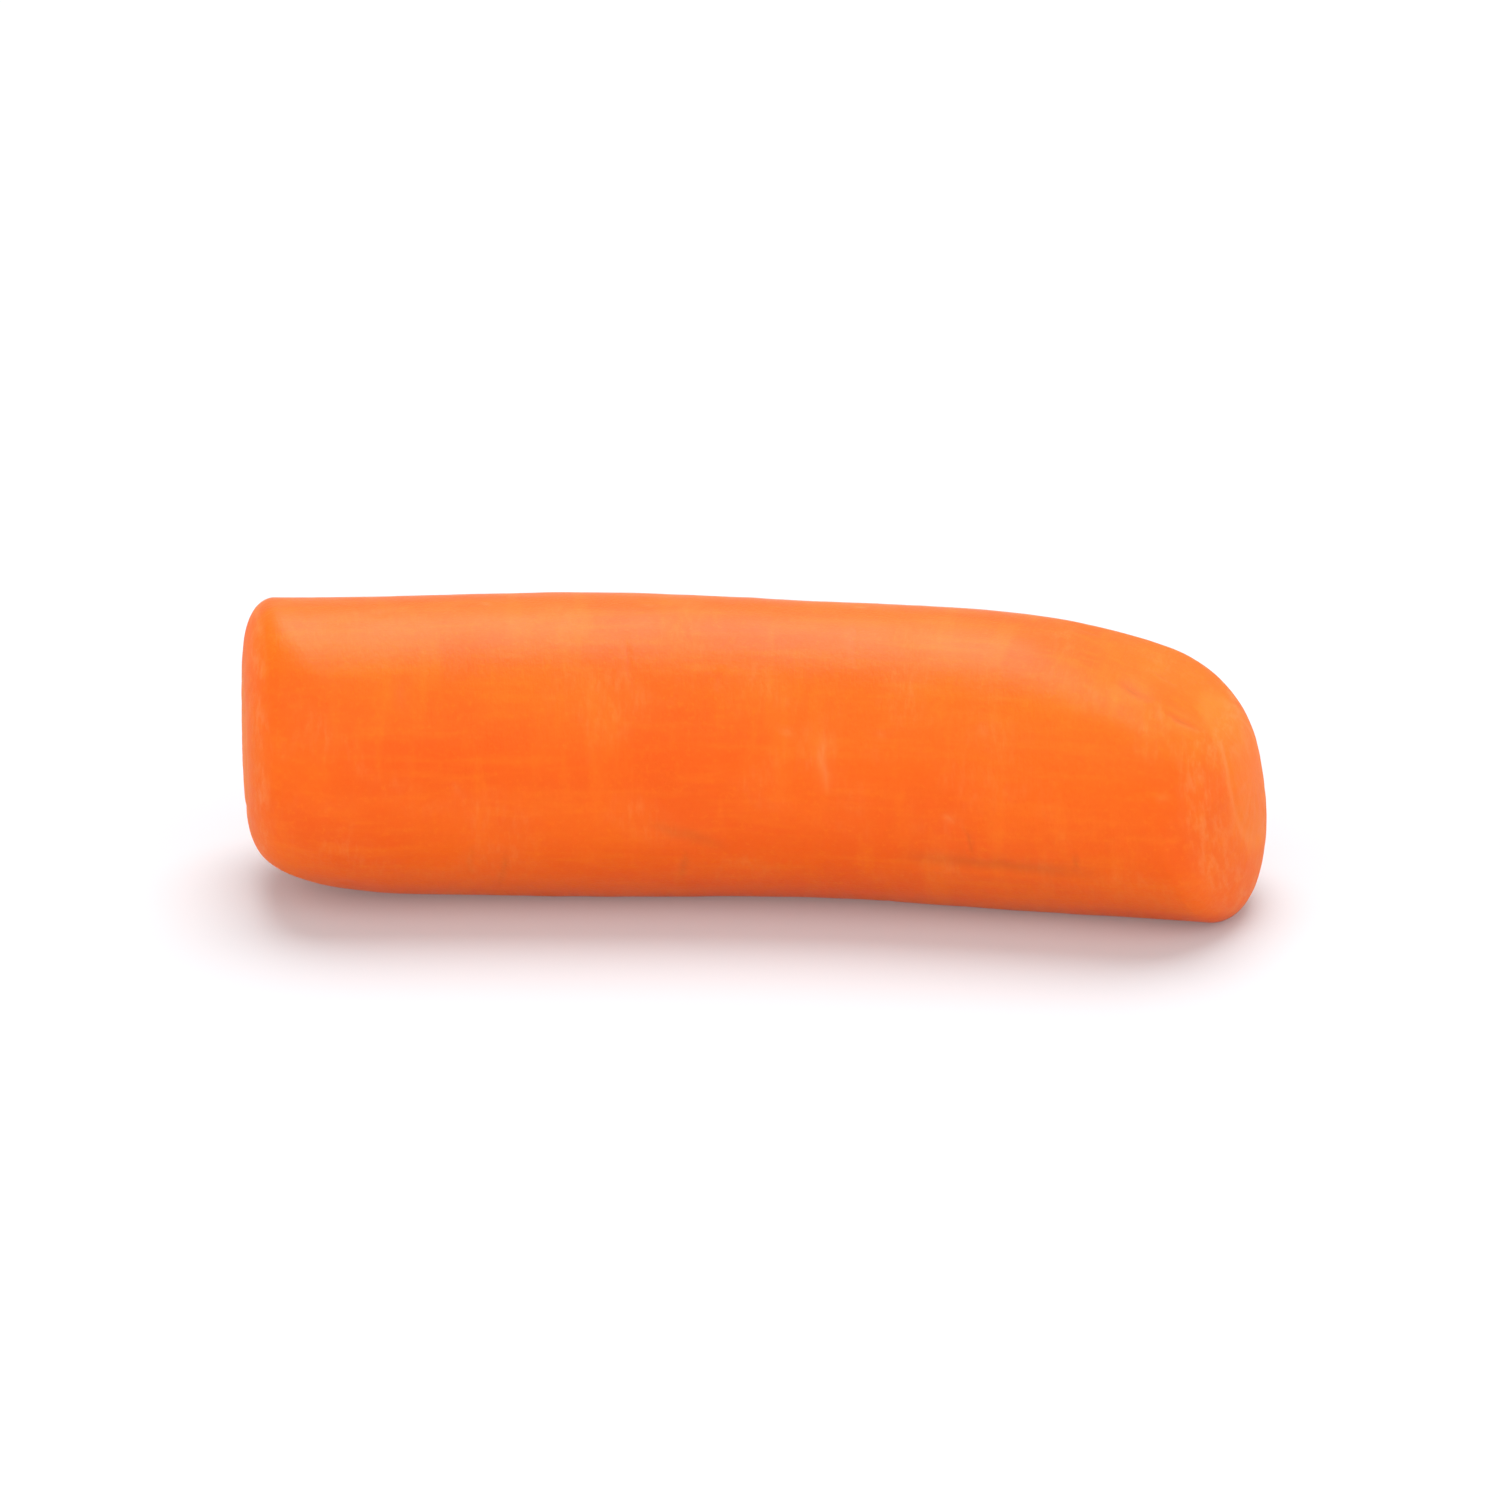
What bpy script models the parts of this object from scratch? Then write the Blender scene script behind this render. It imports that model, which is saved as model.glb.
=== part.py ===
"""Baby carrot: one short length of carrot root, peeled and worn smooth, lying on its side.

+X runs along the carrot, +Z is up and -Y is its front. The origin is at the bottom centre of its box,
in the plane of the shallow flat that it rests on. All sizes are in metres and angles in degrees.
"""

import math

import bmesh
import bpy
from mathutils import Vector

# Overall size.
LENGTH = 0.0538
MEAN_RADIUS = 0.00802
REST_FLAT_DEPTH = 0.0004

# The root curves in plan. Its centre line is y = -(BEND * x^2 + BEND_GROWTH * x^3).
BEND = 3.2
BEND_GROWTH = 10.0

# It swells and narrows slowly along its length, as a share of the radius.
SWELL = 0.012
SWELL_PERIOD = 0.024
SWELL_CREST_X = -0.0082

# Its section isn't quite round. Each lobe has a height as a share of the radius, a count around the
# section, the angle it points to at mid-length, and a twist in degrees over the whole length.
LOBES = (
    {"height": 0.011, "count": 2, "angle": 77.0, "twist": 25.0},
    {"height": 0.003, "count": 3, "angle": 25.0, "twist": -30.0},
)

# Each cut end is worn round. The wear reaches this far along the side at the top, bottom, front and
# back. A higher "shoulder" makes the edge rounder, a higher "face" makes the end flatter, and "lean"
# is how far the face leans back at the top, as a slope.
LEFT_END = {
    "top": 0.0020,
    "bottom": 0.0095,
    "front": 0.0060,
    "back": 0.0034,
    "shoulder": 1.79,
    "face": 5.6,
    "lean": 0.0,
}
RIGHT_END = {
    "top": 0.0053,
    "bottom": 0.0026,
    "front": 0.0040,
    "back": 0.0043,
    "shoulder": 1.85,
    "face": 2.3,
    "lean": 0.21,
}
LEAN_FADE = 4

# The top of the right end is worn to a slanting facet. It leaves the top of the root at this x and
# falls at this slope, and by this curve times the square of the distance. Its edges are rounded
# over this width.
FACET_START_X = 0.0182
FACET_SLOPE = 0.48
FACET_CURVE = 9.0
FACET_EDGE = 0.0027

# Fineness of the mesh.
POINTS_AROUND = 48
RINGS_PER_END = 9
RINGS_ALONG_SIDE = 24

FLESH_COLOR = (0.90, 0.15, 0.01, 1.0)
FLESH_ROUGHNESS = 0.42


def clear_scene():
    for obj in list(bpy.data.objects):
        bpy.data.objects.remove(obj, do_unlink=True)


def flesh_material():
    """Satin orange carrot flesh."""
    material = bpy.data.materials.new("carrot_flesh")
    material.use_nodes = True
    shader = material.node_tree.nodes["Principled BSDF"]
    shader.inputs["Base Color"].default_value = FLESH_COLOR
    shader.inputs["Roughness"].default_value = FLESH_ROUGHNESS
    shader.inputs["Metallic"].default_value = 0.0
    material.diffuse_color = FLESH_COLOR
    return material


def wear_reach(end, angle):
    """How far the wear reaches along the side at this angle.

    A wave joins the front and back values. What the top or bottom has more than their mean is added
    to it, fading out towards the front and back with the square of the sine.
    """
    mean = (end["back"] + end["front"]) / 2
    wave = (end["back"] - end["front"]) / 2 * math.cos(angle)
    crown = end["top"] if math.sin(angle) > 0 else end["bottom"]
    return mean + wave + (crown - mean) * math.sin(angle) ** 2


def radius_at(x, angle):
    share = SWELL * math.cos(2 * math.pi * (x - SWELL_CREST_X) / SWELL_PERIOD)
    for lobe in LOBES:
        crest = math.radians(lobe["angle"] + lobe["twist"] * x / LENGTH)
        share += lobe["height"] * math.cos(lobe["count"] * (angle - crest))
    return MEAN_RADIUS * (1 + share)


def below_facet(x, up):
    """The soft minimum of this height and the height of the facet.

    The facet falls by its slope times the distance past its start, plus its curve times the square.
    """
    past = x - FACET_START_X
    facet = MEAN_RADIUS - FACET_SLOPE * past - FACET_CURVE * max(past, 0) ** 2
    return (up + facet - math.hypot(up - facet, FACET_EDGE)) / 2


def end_stations(end):
    """Steps from the side to the middle of an end face, each a share of the reach and of the radius.

    They follow the superellipse (reach share)^shoulder + (radius share)^face = 1.
    """
    stations = []
    for ring in range(1, RINGS_PER_END + 1):
        turn = math.pi / 2 * ring / (RINGS_PER_END + 1)
        stations.append((math.sin(turn) ** (2 / end["shoulder"]), math.cos(turn) ** (2 / end["face"])))
    return stations


def point_on_root(x, share, angle):
    """The point at this station, share of the radius and angle, with the facet, lean and bend."""
    radius = share * radius_at(x, angle)
    across = radius * math.cos(angle)
    up = below_facet(x, radius * math.sin(angle))
    fade = (2 * abs(x) / LENGTH) ** LEAN_FADE
    lean = RIGHT_END["lean"] if x > 0 else -LEFT_END["lean"]
    leaned = x - lean * up * fade
    centre_y = -(BEND * leaned**2 + BEND_GROWTH * leaned**3)
    slope = -(2 * BEND * leaned + 3 * BEND_GROWTH * leaned**2)
    stretch = math.hypot(1, slope)
    return Vector((leaned - across * slope / stretch, centre_y + across / stretch, up))


def ring_stations(angle):
    """Every (x, radius share) along the carrot at this angle, from the left end to the right."""
    half = LENGTH / 2
    left_reach = wear_reach(LEFT_END, angle)
    right_reach = wear_reach(RIGHT_END, angle)
    left_side = -half + left_reach
    right_side = half - right_reach
    stations = [(left_side - reach * left_reach, share) for reach, share in reversed(end_stations(LEFT_END))]
    for step in range(RINGS_ALONG_SIDE):
        along = step / (RINGS_ALONG_SIDE - 1)
        stations.append((left_side + (right_side - left_side) * along, 1.0))
    stations += [(right_side + reach * right_reach, share) for reach, share in end_stations(RIGHT_END)]
    return stations


def add_rings(mesh):
    """Closed loops of edges around the root, from the left end to the right."""
    angles = [2 * math.pi * step / POINTS_AROUND for step in range(POINTS_AROUND)]
    columns = [ring_stations(angle) for angle in angles]
    rings = []
    for row in range(len(columns[0])):
        verts = []
        for angle, column in zip(angles, columns):
            x, share = column[row]
            verts.append(mesh.verts.new(point_on_root(x, share, angle)))
        rings.append([mesh.edges.new((verts[i - 1], verts[i])) for i in range(POINTS_AROUND)])
    return rings


def close_end(mesh, ring, tip):
    """Closes the last ring of an end with a fan of faces around the middle of the end face."""
    face = bmesh.ops.contextual_create(mesh, geom=ring)["faces"][0]
    middle = bmesh.ops.poke(mesh, faces=[face])["verts"][0]
    middle.co = tip


def cut_rest_flat(mesh):
    """Lowers the root until the flat's depth is below z = 0, and cuts it off there."""
    lowest = min(vert.co.z for vert in mesh.verts)
    bmesh.ops.translate(mesh, verts=mesh.verts, vec=(0, 0, -lowest - REST_FLAT_DEPTH))
    everything = mesh.verts[:] + mesh.edges[:] + mesh.faces[:]
    cut = bmesh.ops.bisect_plane(
        mesh, geom=everything, plane_co=(0, 0, 0), plane_no=(0, 0, -1), clear_outer=True
    )
    rim = [item for item in cut["geom_cut"] if isinstance(item, bmesh.types.BMEdge)]
    bmesh.ops.contextual_create(mesh, geom=rim)


def centre_on_origin(mesh):
    """Moves the carrot so that the origin is at the bottom centre of its box."""
    xs = [vert.co.x for vert in mesh.verts]
    ys = [vert.co.y for vert in mesh.verts]
    offset = Vector((-(min(xs) + max(xs)) / 2, -(min(ys) + max(ys)) / 2, 0))
    bmesh.ops.translate(mesh, verts=mesh.verts, vec=offset)


def build_carrot():
    mesh = bmesh.new()
    rings = add_rings(mesh)
    for near, far in zip(rings, rings[1:]):
        bmesh.ops.bridge_loops(mesh, edges=near + far)
    close_end(mesh, rings[0], point_on_root(-LENGTH / 2, 0, 0))
    close_end(mesh, rings[-1], point_on_root(LENGTH / 2, 0, 0))
    cut_rest_flat(mesh)
    centre_on_origin(mesh)
    bmesh.ops.recalc_face_normals(mesh, faces=mesh.faces)
    data = bpy.data.meshes.new("baby_carrot")
    mesh.to_mesh(data)
    mesh.free()
    data.shade_smooth()
    data.set_sharp_from_angle(angle=math.radians(12))
    data.materials.append(flesh_material())
    carrot = bpy.data.objects.new("baby_carrot", data)
    bpy.context.scene.collection.objects.link(carrot)
    return carrot


clear_scene()
build_carrot()
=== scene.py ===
import math

import bpy
import numpy as np
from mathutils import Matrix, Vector


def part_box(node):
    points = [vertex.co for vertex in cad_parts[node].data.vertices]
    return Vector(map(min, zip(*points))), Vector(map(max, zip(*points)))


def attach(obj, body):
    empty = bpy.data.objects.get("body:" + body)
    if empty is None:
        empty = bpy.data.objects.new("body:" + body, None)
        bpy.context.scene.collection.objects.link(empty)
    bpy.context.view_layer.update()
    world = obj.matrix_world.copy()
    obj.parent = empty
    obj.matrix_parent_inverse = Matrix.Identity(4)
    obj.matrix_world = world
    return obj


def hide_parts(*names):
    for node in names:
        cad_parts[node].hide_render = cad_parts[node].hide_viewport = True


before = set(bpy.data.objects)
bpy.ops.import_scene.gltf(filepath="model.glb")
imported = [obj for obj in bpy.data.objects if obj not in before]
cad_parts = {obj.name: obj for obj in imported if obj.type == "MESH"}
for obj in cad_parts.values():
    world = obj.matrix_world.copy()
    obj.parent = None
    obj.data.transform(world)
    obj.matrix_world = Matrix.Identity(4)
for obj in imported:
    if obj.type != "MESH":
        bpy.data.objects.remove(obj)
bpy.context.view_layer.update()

nodeLow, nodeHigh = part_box("baby_carrot")
print("frame loaded: the carrot is", [round(side * 1000, 1) for side in nodeHigh - nodeLow], "mm")


# ---- the carrot's form. Sizes here are millimetres and angles degrees, and +X runs along the root.
carrot = {
    "length": 53.8,
    "radius": 8.02,
    "restFlat": 0.4,            # how deep the flat underneath is
    "flatEdge": 0.06,           # how far its edge is softened
    "bend": 0.0032,             # the centre line is y = -(bend x^2 + bendGrowth x^3)
    "bendGrowth": 0.000010,
    "swell": 0.012,             # slow swelling along the root, a share of the radius
    "swellPeriod": 24.0,
    "swellCrest": -8.2,
    "lobes": [                  # height as a share of the radius, count, angle at mid-length, twist
        (0.011, 2, 77.0, 25.0),
        (0.003, 3, 25.0, -30.0),
    ],
    # How far the wear on each cut end reaches along the side at the top, bottom, front and back,
    # how round its shoulder and how flat its face is, and how far the face leans.
    "leftEnd": {"top": 2.0, "bottom": 9.5, "front": 6.0, "back": 3.4,
                "shoulder": 1.79, "face": 5.6, "lean": 0.0},
    "rightEnd": {"top": 5.3, "bottom": 2.6, "front": 4.0, "back": 4.3,
                 "shoulder": 1.85, "face": 2.3, "lean": 0.21},
    # the slanting facet worn on top of the right end
    "facetStart": 18.2, "facetSlope": 0.48, "facetCurve": 0.009, "facetEdge": 2.7,
    "leanFade": 4,
    "pointsAround": 280,
    "ringsPerEnd": 62,
    "ringsAlongSide": 226,
    "profileSteps": 4000,       # how finely an end's profile is measured before it is divided evenly
}

# Fine relief, all of it cut into the form. Depths and sizes in millimetres, angles in degrees.
relief = {
    "seed": 41,
    "hollowDepth": 0.10, "hollowCell": (9.0, 6.0, 6.0),      # shallow hollows left by peeling
    "ringDepth": 0.035, "ringCell": (1.5, 7.0, 7.0),         # faint wrinkles around the root
    "fibreDepth": 0.012, "fibreCell": (12.0, 0.9, 0.9),      # fibres along it
    "pitDepth": 0.014, "pitCell": (0.8, 0.8, 0.8),           # pitted like orange peel
    "coreShare": 0.44,          # radius of the core as a share of the root's
    "coreWaver": 0.07,          # how far the core's edge strays, as a share of its radius
    "coreGroove": 0.06, "coreGrooveWidth": 0.04,
    "rayDepth": 0.030, "rayCell": 0.16,
    "rayFade": 0.3,             # the rays fade out inside this share of the radius
    "faceFrom": 0.75, "faceFade": 0.2,      # how squarely a point faces an end before it counts as cut
}

# Scars where the side roots grew, in four rows, and small pits scattered between them.
scars = {
    "rows": [38.0, 128.0, 214.0, 305.0], "perRow": 5, "rowSpread": 9.0,
    "halfLength": (0.7, 2.4), "width": (0.13, 0.24), "depth": (0.04, 0.11),
    "rowTurn": 6.0, "rowTone": (0.10, 0.38),
    "pits": 26, "pitHalfLength": (0.25, 0.55), "pitWidth": (0.16, 0.28), "pitDepth": (0.03, 0.08),
    "pitTurn": 25.0, "pitTone": (-0.5, 0.25),
    "endMargin": 3.0,           # no random scar lies nearer to a tip than this
    "wander": 0.16, "wanderCell": (0.9, 1.1, 1.1),      # how far a groove strays from straight
    "sideFrom": 0.55, "sideFade": 0.2,      # scars fade out on the end faces, by share of the radius
    # beside a groove: its low lip, its dark or pale line and the pale halo around it, in its widths
    "lipPlace": 2.2, "lipHeight": 0.25, "lineWidth": 0.75, "haloWidth": 2.6, "haloTone": 0.3,
    # marks that this carrot has: x, angle, turn from across the root, half length, width, depth, tone
    "marks": [
        (4.6, 165, 4, 1.9, 0.24, 0.07, -0.5),       # a pale scar near the middle
        (-2.9, 197, 68, 2.6, 0.45, 0.05, 0.22),     # a faint slanting scrape
        (14.2, 206, 88, 6.0, 0.66, 0.10, 0.34),     # a long crease low on the front
        (21.5, 115, 80, 1.3, 0.55, 0.11, 0.90),     # nicks on the worn top of the right end
        (24.3, 121, 84, 1.0, 0.46, 0.09, 0.80),
        (22.6, 92, 70, 0.8, 0.22, 0.07, 0.40),
        (18.2, 78, 75, 0.7, 0.20, 0.06, 0.30),
    ],
}


def wearReach(end, angle):
    # a wave from the front value to the back one, plus what the top or the bottom has more than
    # their mean, times the square of the sine
    mean = (end["back"] + end["front"]) / 2
    wave = (end["back"] - end["front"]) / 2 * np.cos(angle)
    crown = np.where(np.sin(angle) > 0, end["top"], end["bottom"])
    return mean + wave + (crown - mean) * np.sin(angle) ** 2


def endProfile(end, rings):
    # the superellipse (reach share)^shoulder + (radius share)^face = 1, in even steps of its own length
    turn = np.linspace(0, math.pi / 2, carrot["profileSteps"])
    reach = np.sin(turn) ** (2 / end["shoulder"])
    share = np.clip(np.cos(turn), 0, 1) ** (2 / end["face"])
    meanReach = (end["top"] + end["bottom"] + end["front"] + end["back"]) / 4
    steps = np.hypot(np.diff(reach) * meanReach, np.diff(share) * carrot["radius"])
    travelled = np.concatenate([[0], np.cumsum(steps)])
    even = np.linspace(0, travelled[-1], rings + 1)[1:]
    return np.interp(even, travelled, reach), np.interp(even, travelled, share)


def radiusAt(x, angle):
    # mean radius, times one plus a slow wave along the root and the lobes around its section
    share = carrot["swell"] * np.cos(2 * math.pi * (x - carrot["swellCrest"]) / carrot["swellPeriod"])
    for height, count, crest, twist in carrot["lobes"]:
        share = share + height * np.cos(count * (angle - np.radians(crest + twist * x / carrot["length"])))
    return carrot["radius"] * (1 + share)


def straightRoot(angle):
    # rows of x and radius share for every angle, from the left tip to the right tip
    half = carrot["length"] / 2
    leftReach = wearReach(carrot["leftEnd"], angle)
    rightReach = wearReach(carrot["rightEnd"], angle)
    leftSide, rightSide = leftReach - half, half - rightReach
    rings = carrot["ringsPerEnd"]
    reachL, shareL = (rows[::-1, None] for rows in endProfile(carrot["leftEnd"], rings))
    reachR, shareR = (rows[:, None] for rows in endProfile(carrot["rightEnd"], rings))
    along = np.linspace(0, 1, carrot["ringsAlongSide"])[:, None]
    flat = np.ones_like(angle)
    x = np.concatenate([
        leftSide - reachL * leftReach,
        leftSide + (rightSide - leftSide) * along,
        rightSide + reachR * rightReach,
    ])
    share = np.concatenate([shareL * flat, np.ones_like(along) * flat, shareR * flat])
    return x, share


def belowFacet(x, up):
    # the soft minimum of a height and the height of the facet, which falls by its slope times the
    # distance past its start, plus its curve times the square of that
    past = x - carrot["facetStart"]
    drop = carrot["facetSlope"] * past + carrot["facetCurve"] * np.maximum(past, 0) ** 2
    facet = carrot["radius"] - drop
    return (up + facet - np.hypot(up - facet, carrot["facetEdge"])) / 2


def bentRoot(x, across, up):
    # leans the end faces, then bends the straight root along its centre line in plan
    fade = (2 * np.abs(x) / carrot["length"]) ** carrot["leanFade"]
    lean = np.where(x > 0, carrot["rightEnd"]["lean"], -carrot["leftEnd"]["lean"])
    x = x - lean * up * fade
    centre = -(carrot["bend"] * x**2 + carrot["bendGrowth"] * x**3)
    slope = -(2 * carrot["bend"] * x + 3 * carrot["bendGrowth"] * x**2)
    stretch = np.hypot(1, slope)
    return np.stack([x - across * slope / stretch, centre + across / stretch, up], axis=-1)


def grain(place, cell, seed):
    # random values on a lattice of cells, joined by smooth cubic steps: a number from -1 to 1
    size = 64
    table = np.random.default_rng(seed).uniform(-1, 1, (size, size, size))
    scaled = place / np.asarray(cell)
    low = np.floor(scaled).astype(int)
    step = scaled - low
    step = step * step * step * (step * (step * 6 - 15) + 10)
    total = 0
    for corner in np.ndindex(2, 2, 2):
        index = (low + np.array(corner)) % size
        weight = np.prod(np.where(np.array(corner) == 1, step, 1 - step), axis=-1)
        total = total + weight * table[index[..., 0], index[..., 1], index[..., 2]]
    return total


def allScars():
    # rows of x, angle, turn, half length, width, depth and tone: the named marks, then random ones
    rng = np.random.default_rng(relief["seed"])
    half = carrot["length"] / 2 - scars["endMargin"]
    rows = list(scars["marks"])
    for row in scars["rows"]:
        for spot in np.linspace(-half, half, scars["perRow"] + 1)[:-1]:
            x = spot + rng.uniform(0, 2 * half / scars["perRow"])
            angle, turn = row + rng.normal(0, scars["rowSpread"]), rng.normal(0, scars["rowTurn"])
            tone = rng.uniform(*scars["rowTone"])
            size = [rng.uniform(*scars[name]) for name in ("halfLength", "width", "depth")]
            rows.append((x, angle, turn, *size, tone))
    for pit in range(scars["pits"]):
        x, angle, turn = rng.uniform(-half, half), rng.uniform(0, 360), rng.normal(0, scars["pitTurn"])
        size = [rng.uniform(*scars[name]) for name in ("pitHalfLength", "pitWidth", "pitDepth")]
        rows.append((x, angle, turn, *size, rng.uniform(*scars["pitTone"])))
    return rows


def cutScars(place, angle, share):
    # each scar is a groove: a bell in its width, fading to nothing at both its ends, with a low lip.
    # Its tone is a narrower bell, dark where positive and pale where negative, in a faint pale halo.
    depth, dark, pale = np.zeros((3, *share.shape))
    wander = scars["wander"] * grain(place, scars["wanderCell"], relief["seed"] + 1)
    onSide = np.clip((share - scars["sideFrom"]) / scars["sideFade"], 0, 1)
    for x, aim, turn, halfLength, width, deep, tone in allScars():
        around = (np.mod(angle - np.radians(aim) + math.pi, 2 * math.pi) - math.pi) * carrot["radius"]
        along = place[..., 0] - x
        near = (np.abs(along) < 2 * halfLength + 2) & (np.abs(around) < 2 * halfLength + 2)
        cosTurn, sinTurn = math.cos(math.radians(turn)), math.sin(math.radians(turn))
        lengthwise = around[near] * cosTurn + along[near] * sinTurn
        crosswise = along[near] * cosTurn - around[near] * sinTurn + wander[near]
        fade = np.clip(1 - (lengthwise / halfLength) ** 2, 0, 1) * onSide[near]
        bell = np.exp(-(crosswise / width) ** 2) * fade
        lip = np.exp(-((np.abs(crosswise) - scars["lipPlace"] * width) / width) ** 2) * fade
        line = np.exp(-(crosswise / (scars["lineWidth"] * width)) ** 2) * fade
        halo = np.exp(-(crosswise / (scars["haloWidth"] * width)) ** 2) * fade
        depth[near] = np.maximum(depth[near], deep * (bell - scars["lipHeight"] * lip))
        dark[near] = np.maximum(dark[near], line * max(tone, 0))
        paleness = halo * scars["haloTone"] * abs(tone) + line * max(-tone, 0)
        pale[near] = np.maximum(pale[near], paleness)
    return depth, dark, pale


def fineRelief(place, angle, share, cutDepth, facing):
    # how deep every point lies below the smooth form: grains of several sizes, the scars, and on the
    # end faces a groove at the edge of the core with fine rays running out from it
    seed = relief["seed"]
    depth = 0
    for step, name in enumerate(("hollow", "ring", "fibre", "pit")):
        wave = grain(place, relief[name + "Cell"], seed + 2 + step)
        depth = depth + relief[name + "Depth"] * (0.5 + 0.5 * wave)
    scarDepth, dark, pale = cutScars(place, angle, share)
    aim = np.arctan2(place[..., 2], place[..., 1])
    ray = np.stack([aim * 0, np.cos(aim) / relief["rayCell"], np.sin(aim) / relief["rayCell"]], -1)
    rays = 0.5 + 0.5 * grain(ray, (1.0, 1.0, 1.0), seed + 7)
    waver = relief["coreWaver"] * grain(ray * 0.3, (1.0, 1.0, 1.0), seed + 8)
    core = relief["coreShare"] * (1 + waver)
    onFace = np.clip((facing - relief["faceFrom"]) / relief["faceFade"], 0, 1)
    groove = relief["coreGroove"] * np.exp(-((cutDepth - core) / relief["coreGrooveWidth"]) ** 2)
    rayed = relief["rayDepth"] * rays * np.clip(cutDepth / relief["rayFade"], 0, 1)
    return depth + scarDepth + onFace * (groove + rayed), dark, pale


def outwardNormals(points):
    # the cross product of the directions along and around the grid, at every point
    alongGrid = np.gradient(points, axis=0)
    aroundGrid = np.roll(points, -1, axis=1) - np.roll(points, 1, axis=1)
    normal = np.cross(aroundGrid, alongGrid)
    length = np.linalg.norm(normal, axis=-1, keepdims=True)
    return normal / np.maximum(length, 1e-9)


def gridMesh(name, points, leftTip, rightTip):
    # rows of points joined into quads around and along, closed at both tips by a fan of triangles
    rows, columns = points.shape[:2]
    row, column = np.meshgrid(np.arange(rows - 1), np.arange(columns), indexing="ij")
    here = row * columns + column
    beside = row * columns + (column + 1) % columns
    quads = np.stack([here, here + columns, beside + columns, beside], axis=-1).reshape(-1, 4)
    ring = np.arange(columns)
    following = (ring + 1) % columns
    left = rows * columns
    last = (rows - 1) * columns
    leftFan = np.stack([np.full(columns, left), ring, following], axis=-1)
    rightFan = np.stack([np.full(columns, left + 1), last + following, last + ring], axis=-1)
    corners = np.concatenate([quads.ravel(), leftFan.ravel(), rightFan.ravel()])
    sizes = np.concatenate([np.full(len(quads), 4), np.full(2 * columns, 3)])
    starts = np.concatenate([[0], np.cumsum(sizes)[:-1]])
    vertices = np.concatenate([points.reshape(-1, 3), [leftTip, rightTip]])
    mesh = bpy.data.meshes.new(name)
    mesh.vertices.add(len(vertices))
    mesh.loops.add(len(corners))
    mesh.polygons.add(len(sizes))
    mesh.vertices.foreach_set("co", vertices.astype(np.float32).ravel())
    mesh.loops.foreach_set("vertex_index", corners.astype(np.int32))
    mesh.polygons.foreach_set("loop_start", starts.astype(np.int32))
    mesh.update(calc_edges=True)
    mesh.validate()
    mesh.shade_smooth()
    return mesh


def bakeMap(mesh, rows, columns):
    # the skin unrolled: around the root across the map, and tip to tip up it
    u = np.arange(columns) / columns
    uNext = u + 1 / columns
    v = (np.arange(rows) + 1) / (rows + 1)
    low = np.meshgrid(v[:-1], u, indexing="ij")[0]
    high = np.meshgrid(v[1:], u, indexing="ij")[0]
    left, right = np.broadcast_to(u, low.shape), np.broadcast_to(uNext, low.shape)
    quads = np.stack([left, low, left, high, right, high, right, low], axis=-1).reshape(-1, 2)
    middle = u + 0.5 / columns
    zero, one = np.zeros(columns), np.ones(columns)
    first, final = np.full(columns, v[0]), np.full(columns, v[-1])
    leftFan = np.stack([middle, zero, u, first, uNext, first], axis=-1).reshape(-1, 2)
    rightFan = np.stack([middle, one, uNext, final, u, final], axis=-1).reshape(-1, 2)
    layer = mesh.uv_layers.new(name="OFBake")
    corners = np.concatenate([quads, leftFan, rightFan])
    layer.uv.foreach_set("vector", corners.astype(np.float32).ravel())


def addNumbers(mesh, name, values, tips):
    # one number, or one vector, for every point, the two tips last
    values = np.concatenate([values, tips])
    kind = "FLOAT" if values.ndim == 1 else "FLOAT_VECTOR"
    field = "value" if values.ndim == 1 else "vector"
    attribute = mesh.attributes.new(name, kind, "POINT")
    attribute.data.foreach_set(field, values.astype(np.float32).ravel())


def fitToBox(vertices, low, high):
    # moves and very slightly scales the points so that their box is exactly this one
    lowest, highest = vertices.min(axis=0), vertices.max(axis=0)
    stretch = (np.array(high) - np.array(low)) / (highest - lowest)
    return np.array(low) + (vertices - lowest) * stretch


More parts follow.
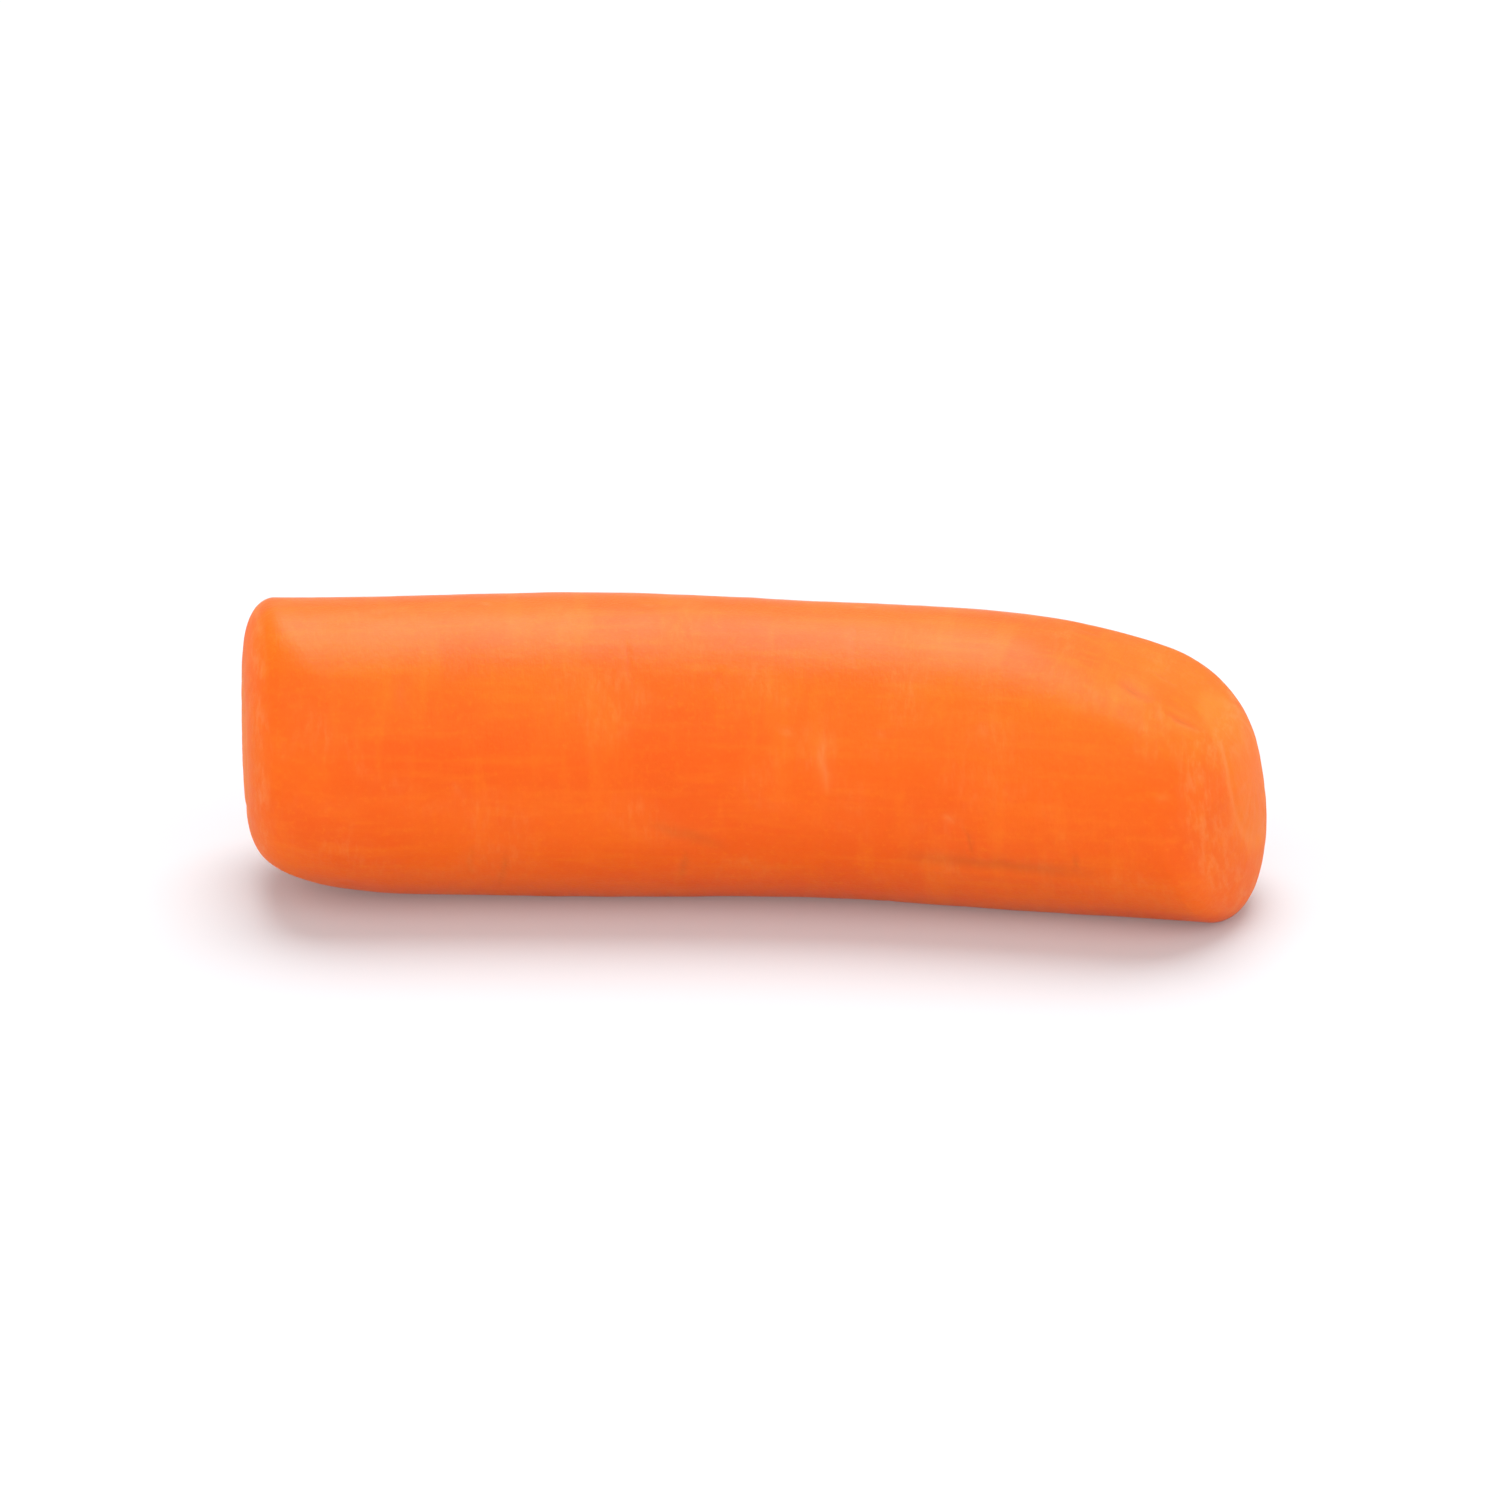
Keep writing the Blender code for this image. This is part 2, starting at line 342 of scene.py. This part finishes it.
def buildCarrot():
    # the straight root with its facet, bent in plan, then sunk along its normals by the fine relief,
    # flattened underneath and fitted to its box
    angle = np.linspace(0, 2 * math.pi, carrot["pointsAround"], endpoint=False)[None, :]
    x, share = straightRoot(angle)
    angle = np.broadcast_to(angle, x.shape)
    radius = share * radiusAt(x, angle)
    across, up = radius * np.cos(angle), belowFacet(x, radius * np.sin(angle))
    place = np.stack([x, across, up], axis=-1)
    cutDepth = np.hypot(across, up) / radiusAt(x, angle)    # 1 at the root's own surface, 0 at its heart
    facing = np.abs(outwardNormals(place)[..., 0])      # 0 on the side, 1 where it faces an end
    smooth = bentRoot(*np.moveaxis(place, -1, 0))
    depth, dark, pale = fineRelief(place, angle, share, cutDepth, facing)
    points = smooth - outwardNormals(smooth) * depth[..., None]
    # the outermost rows have closed up, so each tip is the middle of the row beside them
    leftTip, rightTip = points[1].mean(axis=0), points[-2].mean(axis=0)
    points = points[1:-1]
    rows, columns = points.shape[:2]
    everything = np.concatenate([points.reshape(-1, 3), [leftTip, rightTip]])
    # the flat underneath: each height becomes a soft maximum of itself and the flat's own plane
    above = everything[:, 2] - smooth[..., 2].min() - carrot["restFlat"]
    everything[:, 2] = (above + np.hypot(above, carrot["flatEdge"])) / 2
    everything = fitToBox(everything, nodeLow, nodeHigh)
    grid = everything[:-2].reshape(rows, columns, 3)
    mesh = gridMesh("carrot_skin", grid, everything[-2], everything[-1])
    bakeMap(mesh, rows, columns)
    half = carrot["length"] / 2
    addNumbers(mesh, "rootPlace", place[1:-1].reshape(-1, 3), [[-half, 0, 0], [half, 0, 0]])
    addNumbers(mesh, "radiusShare", cutDepth[1:-1].ravel(), [0, 0])
    addNumbers(mesh, "facing", facing[1:-1].ravel(), [1, 1])
    addNumbers(mesh, "scarDark", dark[1:-1].ravel(), [0, 0])
    addNumbers(mesh, "scarPale", pale[1:-1].ravel(), [0, 0])
    skin = bpy.data.objects.new("carrot_skin", mesh)
    bpy.context.scene.collection.objects.link(skin)
    return skin


# ---- the flesh. Colours are linear, sizes millimetres on the straight root.
flesh = {
    "outer": (0.90, 0.139, 0.003),
    "outerRed": (0.87, 0.113, 0.0025),
    "outerYellow": (0.92, 0.182, 0.005),
    "core": (0.90, 0.250, 0.022),
    "ring": (0.92, 0.330, 0.050),
    "scarLine": (0.40, 0.105, 0.015),
    "blush": (0.92, 0.340, 0.110),
    "roughness": (0.38, 0.60),      # wet peeled side, dry cut flesh
    "ior": 1.40,
    "specular": 0.25,
    "subsurface": 0.30,
    "subsurfaceRadius": (1.0, 0.30, 0.08),
    "subsurfaceScale": 0.0014,
    # how close each pattern is along the root, across it and up
    "driftScale": (0.08, 0.14, 0.14),
    "fibreScale": (0.16, 1.3, 1.3),
    "bandScale": (0.60, 0.13, 0.13),
    "cellScale": (3.0, 3.6, 3.6),
    "wobbleScale": (0.02, 0.30, 0.30),
    "scuffScale": (3.2, 0.9, 0.9),
    "patchScale": (0.20, 0.26, 0.26),
    "abrasionScale": (7.0, 1.6, 1.6),
    "gritScale": (5.0, 5.0, 5.0),
    # how strongly each one colours the flesh
    "fibreTint": 0.35, "bandTint": 0.40, "cellYellow": 0.45, "cellRed": 0.35,
    "innerTint": 0.18, "coreTint": 0.26, "ringTint": 0.20,
    "scarPaleTint": 0.45, "scarDarkTint": 0.70,
    "bumpStrength": 0.35, "bumpHeight": 0.00006,
}


class Nodes:
    # short calls that add shader nodes to one material
    def __init__(self, tree):
        self.tree = tree

    def add(self, kind, **settings):
        # one node of this kind with these settings
        node = self.tree.nodes.new(kind)
        for name, value in settings.items():
            setattr(node, name, value)
        return node

    def feed(self, socket, value):
        # links another node's output to the socket, or sets the value on it
        if isinstance(value, bpy.types.NodeSocket):
            self.tree.links.new(value, socket)
        elif socket.type == "RGBA" and len(value) == 3:
            socket.default_value = (*value, 1)
        else:
            socket.default_value = value

    def math(self, operation, first, second=0.5, third=None, clamp=False):
        # one step of arithmetic on two or three numbers
        node = self.add("ShaderNodeMath", operation=operation, use_clamp=clamp)
        self.feed(node.inputs[0], first)
        self.feed(node.inputs[1], second)
        if third is not None:
            self.feed(node.inputs[2], third)
        return node.outputs[0]

    def stretch(self, vector, scale):
        # the place times a scale for each axis
        node = self.add("ShaderNodeVectorMath", operation="MULTIPLY")
        self.feed(node.inputs[0], vector)
        node.inputs[1].default_value = scale
        return node.outputs[0]

    def noise(self, vector, scale=1.0, detail=2.0, roughness=0.5, distortion=0.0):
        # smooth random values from 0 to 1, with finer ones added for each step of detail
        node = self.add("ShaderNodeTexNoise")
        self.feed(node.inputs["Vector"], vector)
        node.inputs["Scale"].default_value = scale
        node.inputs["Detail"].default_value = detail
        node.inputs["Roughness"].default_value = roughness
        node.inputs["Distortion"].default_value = distortion
        return node.outputs["Fac"]

    def span(self, value, low, high, newLow=0.0, newHigh=1.0):
        # newLow at low, newHigh at high and a smooth step between them
        node = self.add("ShaderNodeMapRange", interpolation_type="SMOOTHSTEP")
        self.feed(node.inputs["Value"], value)
        limits = {"From Min": low, "From Max": high, "To Min": newLow, "To Max": newHigh}
        for name, number in limits.items():
            self.feed(node.inputs[name], number)
        return node.outputs["Result"]

    def mix(self, amount, first, second):
        # the first colour at 0, the second at 1
        node = self.add("ShaderNodeMix", data_type="RGBA")
        self.feed(node.inputs[0], amount)
        self.feed(node.inputs[6], first)
        self.feed(node.inputs[7], second)
        return node.outputs[2]

    def read(self, name):
        # a number or vector that the mesh carries at its points
        return self.add("ShaderNodeAttribute", attribute_name=name)


def fleshMaterial():
    # orange flesh mixed from noises stretched along or around the root, yellower towards the core,
    # paler where it is dry and dark in the scars
    material = bpy.data.materials.new("carrot_flesh_finish")
    material.use_nodes = True
    nodes = Nodes(material.node_tree)
    shader = material.node_tree.nodes["Principled BSDF"]
    place = nodes.read("rootPlace").outputs["Vector"]
    share = nodes.read("radiusShare").outputs["Fac"]
    facing = nodes.read("facing").outputs["Fac"]
    dark = nodes.read("scarDark").outputs["Fac"]
    pale = nodes.read("scarPale").outputs["Fac"]

    # slow drifts between redder and yellower flesh, faint fibres along it, bands around it and cells
    drift = nodes.noise(nodes.stretch(place, flesh["driftScale"]), detail=3)
    fibre = nodes.noise(nodes.stretch(place, flesh["fibreScale"]), detail=3, roughness=0.6)
    bands = nodes.noise(nodes.stretch(place, flesh["bandScale"]), detail=3, roughness=0.55)
    cells = nodes.noise(nodes.stretch(place, flesh["cellScale"]), detail=3, roughness=0.7)
    yellow, red = flesh["outerYellow"], flesh["outerRed"]
    colour = nodes.mix(nodes.span(drift, 0.35, 0.65), red, flesh["outer"])
    colour = nodes.mix(nodes.span(fibre, 0.45, 0.75, 0, flesh["fibreTint"]), colour, yellow)
    colour = nodes.mix(nodes.span(bands, 0.50, 0.75, 0, flesh["bandTint"]), colour, yellow)
    colour = nodes.mix(nodes.span(cells, 0.50, 0.80, 0, flesh["cellYellow"]), colour, yellow)
    colour = nodes.mix(nodes.span(cells, 0.48, 0.25, 0, flesh["cellRed"]), colour, red)

    # the core and the pale ring around it, which show where the ends are cut
    wobble = nodes.noise(nodes.stretch(place, flesh["wobbleScale"]), detail=2)
    edge = nodes.math("MULTIPLY_ADD", wobble, 0.12, nodes.math("SUBTRACT", share, 0.06))
    core = relief["coreShare"]
    inner = nodes.span(edge, 0.97, core)
    inCore = nodes.span(edge, core + 0.02, core - 0.05)
    ringRise = nodes.span(edge, core - 0.05, core + 0.01)
    ringFall = nodes.span(edge, core + 0.10, core + 0.02)
    ring = nodes.math("MULTIPLY", ringRise, ringFall)
    colour = nodes.mix(nodes.math("MULTIPLY", inner, flesh["innerTint"]), colour, yellow)
    colour = nodes.mix(nodes.math("MULTIPLY", inCore, flesh["coreTint"]), colour, flesh["core"])
    colour = nodes.mix(nodes.math("MULTIPLY", ring, flesh["ringTint"]), colour, flesh["ring"])

    # dry pale flesh: in short scuffs around the root, and most of all on the cut faces and their rims
    scuff = nodes.noise(nodes.stretch(place, flesh["scuffScale"]), detail=4, roughness=0.62)
    patch = nodes.noise(nodes.stretch(place, flesh["patchScale"]), detail=2)
    rimRise = nodes.span(facing, 0.55, 0.78)
    rimFall = nodes.span(facing, 1.0, 0.85, 0.45, 1.0)
    rim = nodes.math("MULTIPLY", rimRise, rimFall)
    dryness = nodes.math("MAXIMUM", nodes.span(patch, 0.46, 0.70, 0.0, 0.5), rim)
    dry = nodes.math("MULTIPLY", dryness, nodes.span(scuff, 0.42, 0.72, 0.05, 0.30))
    scarPale = nodes.math("MULTIPLY", pale, flesh["scarPaleTint"])
    colour = nodes.mix(nodes.math("ADD", dry, scarPale, clamp=True), colour, flesh["blush"])
    colour = nodes.mix(nodes.math("MULTIPLY", dark, flesh["scarDarkTint"]), colour, flesh["scarLine"])
    nodes.feed(shader.inputs["Base Color"], colour)

    low, high = flesh["roughness"]
    cut = nodes.math("MAXIMUM", nodes.span(share, 0.98, 0.80), nodes.math("MULTIPLY", dry, 2))
    worn = nodes.math("ADD", cut, patch)
    nodes.feed(shader.inputs["Roughness"], nodes.span(worn, 0.35, 1.3, low, high))

    # fine abrasion around the root, and the grain of the cut cells
    abrasion = nodes.noise(nodes.stretch(place, flesh["abrasionScale"]), detail=4, roughness=0.6)
    grit = nodes.noise(nodes.stretch(place, flesh["gritScale"]), detail=3, roughness=0.6)
    bump = nodes.add("ShaderNodeBump")
    bump.inputs["Strength"].default_value = flesh["bumpStrength"]
    bump.inputs["Distance"].default_value = flesh["bumpHeight"]
    nodes.feed(bump.inputs["Height"], nodes.math("ADD", abrasion, grit))
    nodes.feed(shader.inputs["Normal"], bump.outputs["Normal"])

    shader.inputs["Subsurface Weight"].default_value = flesh["subsurface"]
    shader.inputs["Subsurface Radius"].default_value = flesh["subsurfaceRadius"]
    shader.inputs["Subsurface Scale"].default_value = flesh["subsurfaceScale"]
    shader.inputs["IOR"].default_value = flesh["ior"]
    shader.inputs["Specular IOR Level"].default_value = flesh["specular"]
    return material


carrotSkin = buildCarrot()
carrotSkin.data.materials.append(fleshMaterial())
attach(carrotSkin, "root")
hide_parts("baby_carrot")
print("carrot built:", len(carrotSkin.data.polygons), "faces")


# ---- floor, light and camera. Metres, degrees.
studio = {
    "floorRadius": 6.0, "floorHub": 0.02, "floorRings": 24, "floorSpokes": 96,
    "floorRoughness": 0.7, "floorSpecular": 0.2,
    "floorColour": (0.56, 0.56, 0.58),
    "floorGlow": 0.13,          # the floor is a light table, lit faintly from below
    # how bright the dome is every 30 degrees from the front horizon over the top to the back one
    "sky": (0.65, 1.5, 1.3, 0.45, 0.3, 0.55, 0.5),
    "backdrop": 1.0,
    "keyStrength": 3.05, "keySpread": 50, "keyElevation": 68, "keyAzimuth": 178,
}
lens = {
    "azimuth": 3.6,
    "elevation": 20.3,
    "distance": 0.5,
    "shownWidth": 0.080,        # how much the picture spans at the carrot
    "sensor": 36.0,
    "farthest": 20.0,
}


def directionFrom(azimuth, elevation):
    # the unit vector from the object towards the viewer or lamp: azimuth 0 is -Y, 90 is +X
    a, e = math.radians(azimuth), math.radians(elevation)
    return np.array([math.sin(a) * math.cos(e), -math.cos(a) * math.cos(e), math.sin(e)])


def aim(obj, back):
    # turns a lamp or the camera so that its own +Z is this direction, and it looks the opposite way
    obj.rotation_euler = (-Vector(back)).to_track_quat("-Z", "Y").to_euler()


def buildFloor():
    # a round sheet whose radius grows by equal factors from ring to ring
    spokes = studio["floorSpokes"]
    radii = np.geomspace(studio["floorHub"], studio["floorRadius"], studio["floorRings"])
    turn = np.linspace(0, 2 * math.pi, spokes, endpoint=False)
    x, y = radii[:, None] * np.cos(turn), radii[:, None] * np.sin(turn)
    points = np.stack([x, y, np.zeros_like(x)], -1).reshape(-1, 3)
    points = np.concatenate([points, [[0, 0, 0]]])
    row, column = np.meshgrid(np.arange(len(radii) - 1), np.arange(spokes), indexing="ij")
    here, beside = row * spokes + column, row * spokes + (column + 1) % spokes
    quads = np.stack([here, here + spokes, beside + spokes, beside], -1).reshape(-1, 4).tolist()
    hub = [[len(points) - 1, i, (i + 1) % spokes] for i in range(spokes)]
    mesh = bpy.data.meshes.new("floor")
    mesh.from_pydata(points.tolist(), [], quads + hub)
    floor = bpy.data.objects.new("floor", mesh)
    bpy.context.scene.collection.objects.link(floor)
    material = bpy.data.materials.new("floor_finish")
    material.use_nodes = True
    shader = material.node_tree.nodes["Principled BSDF"]
    shader.inputs["Base Color"].default_value = (*studio["floorColour"], 1)
    shader.inputs["Roughness"].default_value = studio["floorRoughness"]
    shader.inputs["Specular IOR Level"].default_value = studio["floorSpecular"]
    shader.inputs["Emission Color"].default_value = (1, 1, 1, 1)
    shader.inputs["Emission Strength"].default_value = studio["floorGlow"]
    mesh.materials.append(material)


def buildLight():
    # a soft white dome, bright in front and dim overhead, which the camera sees as an even white
    # backdrop, and a wide soft sun high up and a little behind
    world = bpy.data.worlds.new("studio")
    bpy.context.scene.world = world
    world.use_nodes = True
    nodes = Nodes(world.node_tree)
    background = world.node_tree.nodes["Background"]
    background.inputs["Color"].default_value = (1, 1, 1, 1)
    split = nodes.add("ShaderNodeSeparateXYZ")
    nodes.feed(split.inputs[0], nodes.add("ShaderNodeTexCoord").outputs["Generated"])
    # the angle from the front horizon over the top, in the plane that the root lies across
    turn = nodes.math("ARCTAN2", split.outputs["Z"], nodes.math("MULTIPLY", split.outputs["Y"], -1.0))
    ramp = nodes.add("ShaderNodeValToRGB")
    nodes.feed(ramp.inputs["Fac"], nodes.math("DIVIDE", turn, math.pi))
    stops = ramp.color_ramp.elements
    levels = studio["sky"]
    for step in range(1, len(levels) - 1):      # a ramp already has a first stop and a last one
        stops.new(step / (len(levels) - 1))
    for stop, level in zip(stops, levels):
        stop.color = (level, level, level, 1)
    seen = nodes.add("ShaderNodeLightPath").outputs["Is Camera Ray"]
    strength = nodes.span(seen, 0, 1, ramp.outputs["Color"], studio["backdrop"])
    nodes.feed(background.inputs["Strength"], strength)
    sun = bpy.data.lights.new("key", "SUN")
    sun.energy = studio["keyStrength"]
    sun.angle = math.radians(studio["keySpread"])
    lamp = bpy.data.objects.new("key", sun)
    aim(lamp, directionFrom(studio["keyAzimuth"], studio["keyElevation"]))
    bpy.context.scene.collection.objects.link(lamp)


def buildCamera():
    # far off on a long lens, looking down at the middle of the carrot
    centre = np.array((nodeLow + nodeHigh) / 2)
    back = directionFrom(lens["azimuth"], lens["elevation"])
    data = bpy.data.cameras.new("camera")
    data.sensor_width = lens["sensor"]
    data.lens = lens["sensor"] * lens["distance"] / lens["shownWidth"]
    data.clip_end = lens["farthest"]
    camera = bpy.data.objects.new("camera", data)
    camera.location = centre + back * lens["distance"]
    aim(camera, back)
    bpy.context.scene.collection.objects.link(camera)
    bpy.context.scene.camera = camera


buildFloor()
buildLight()
buildCamera()
bpy.context.scene.view_settings.view_transform = "Standard"
print("studio ready")
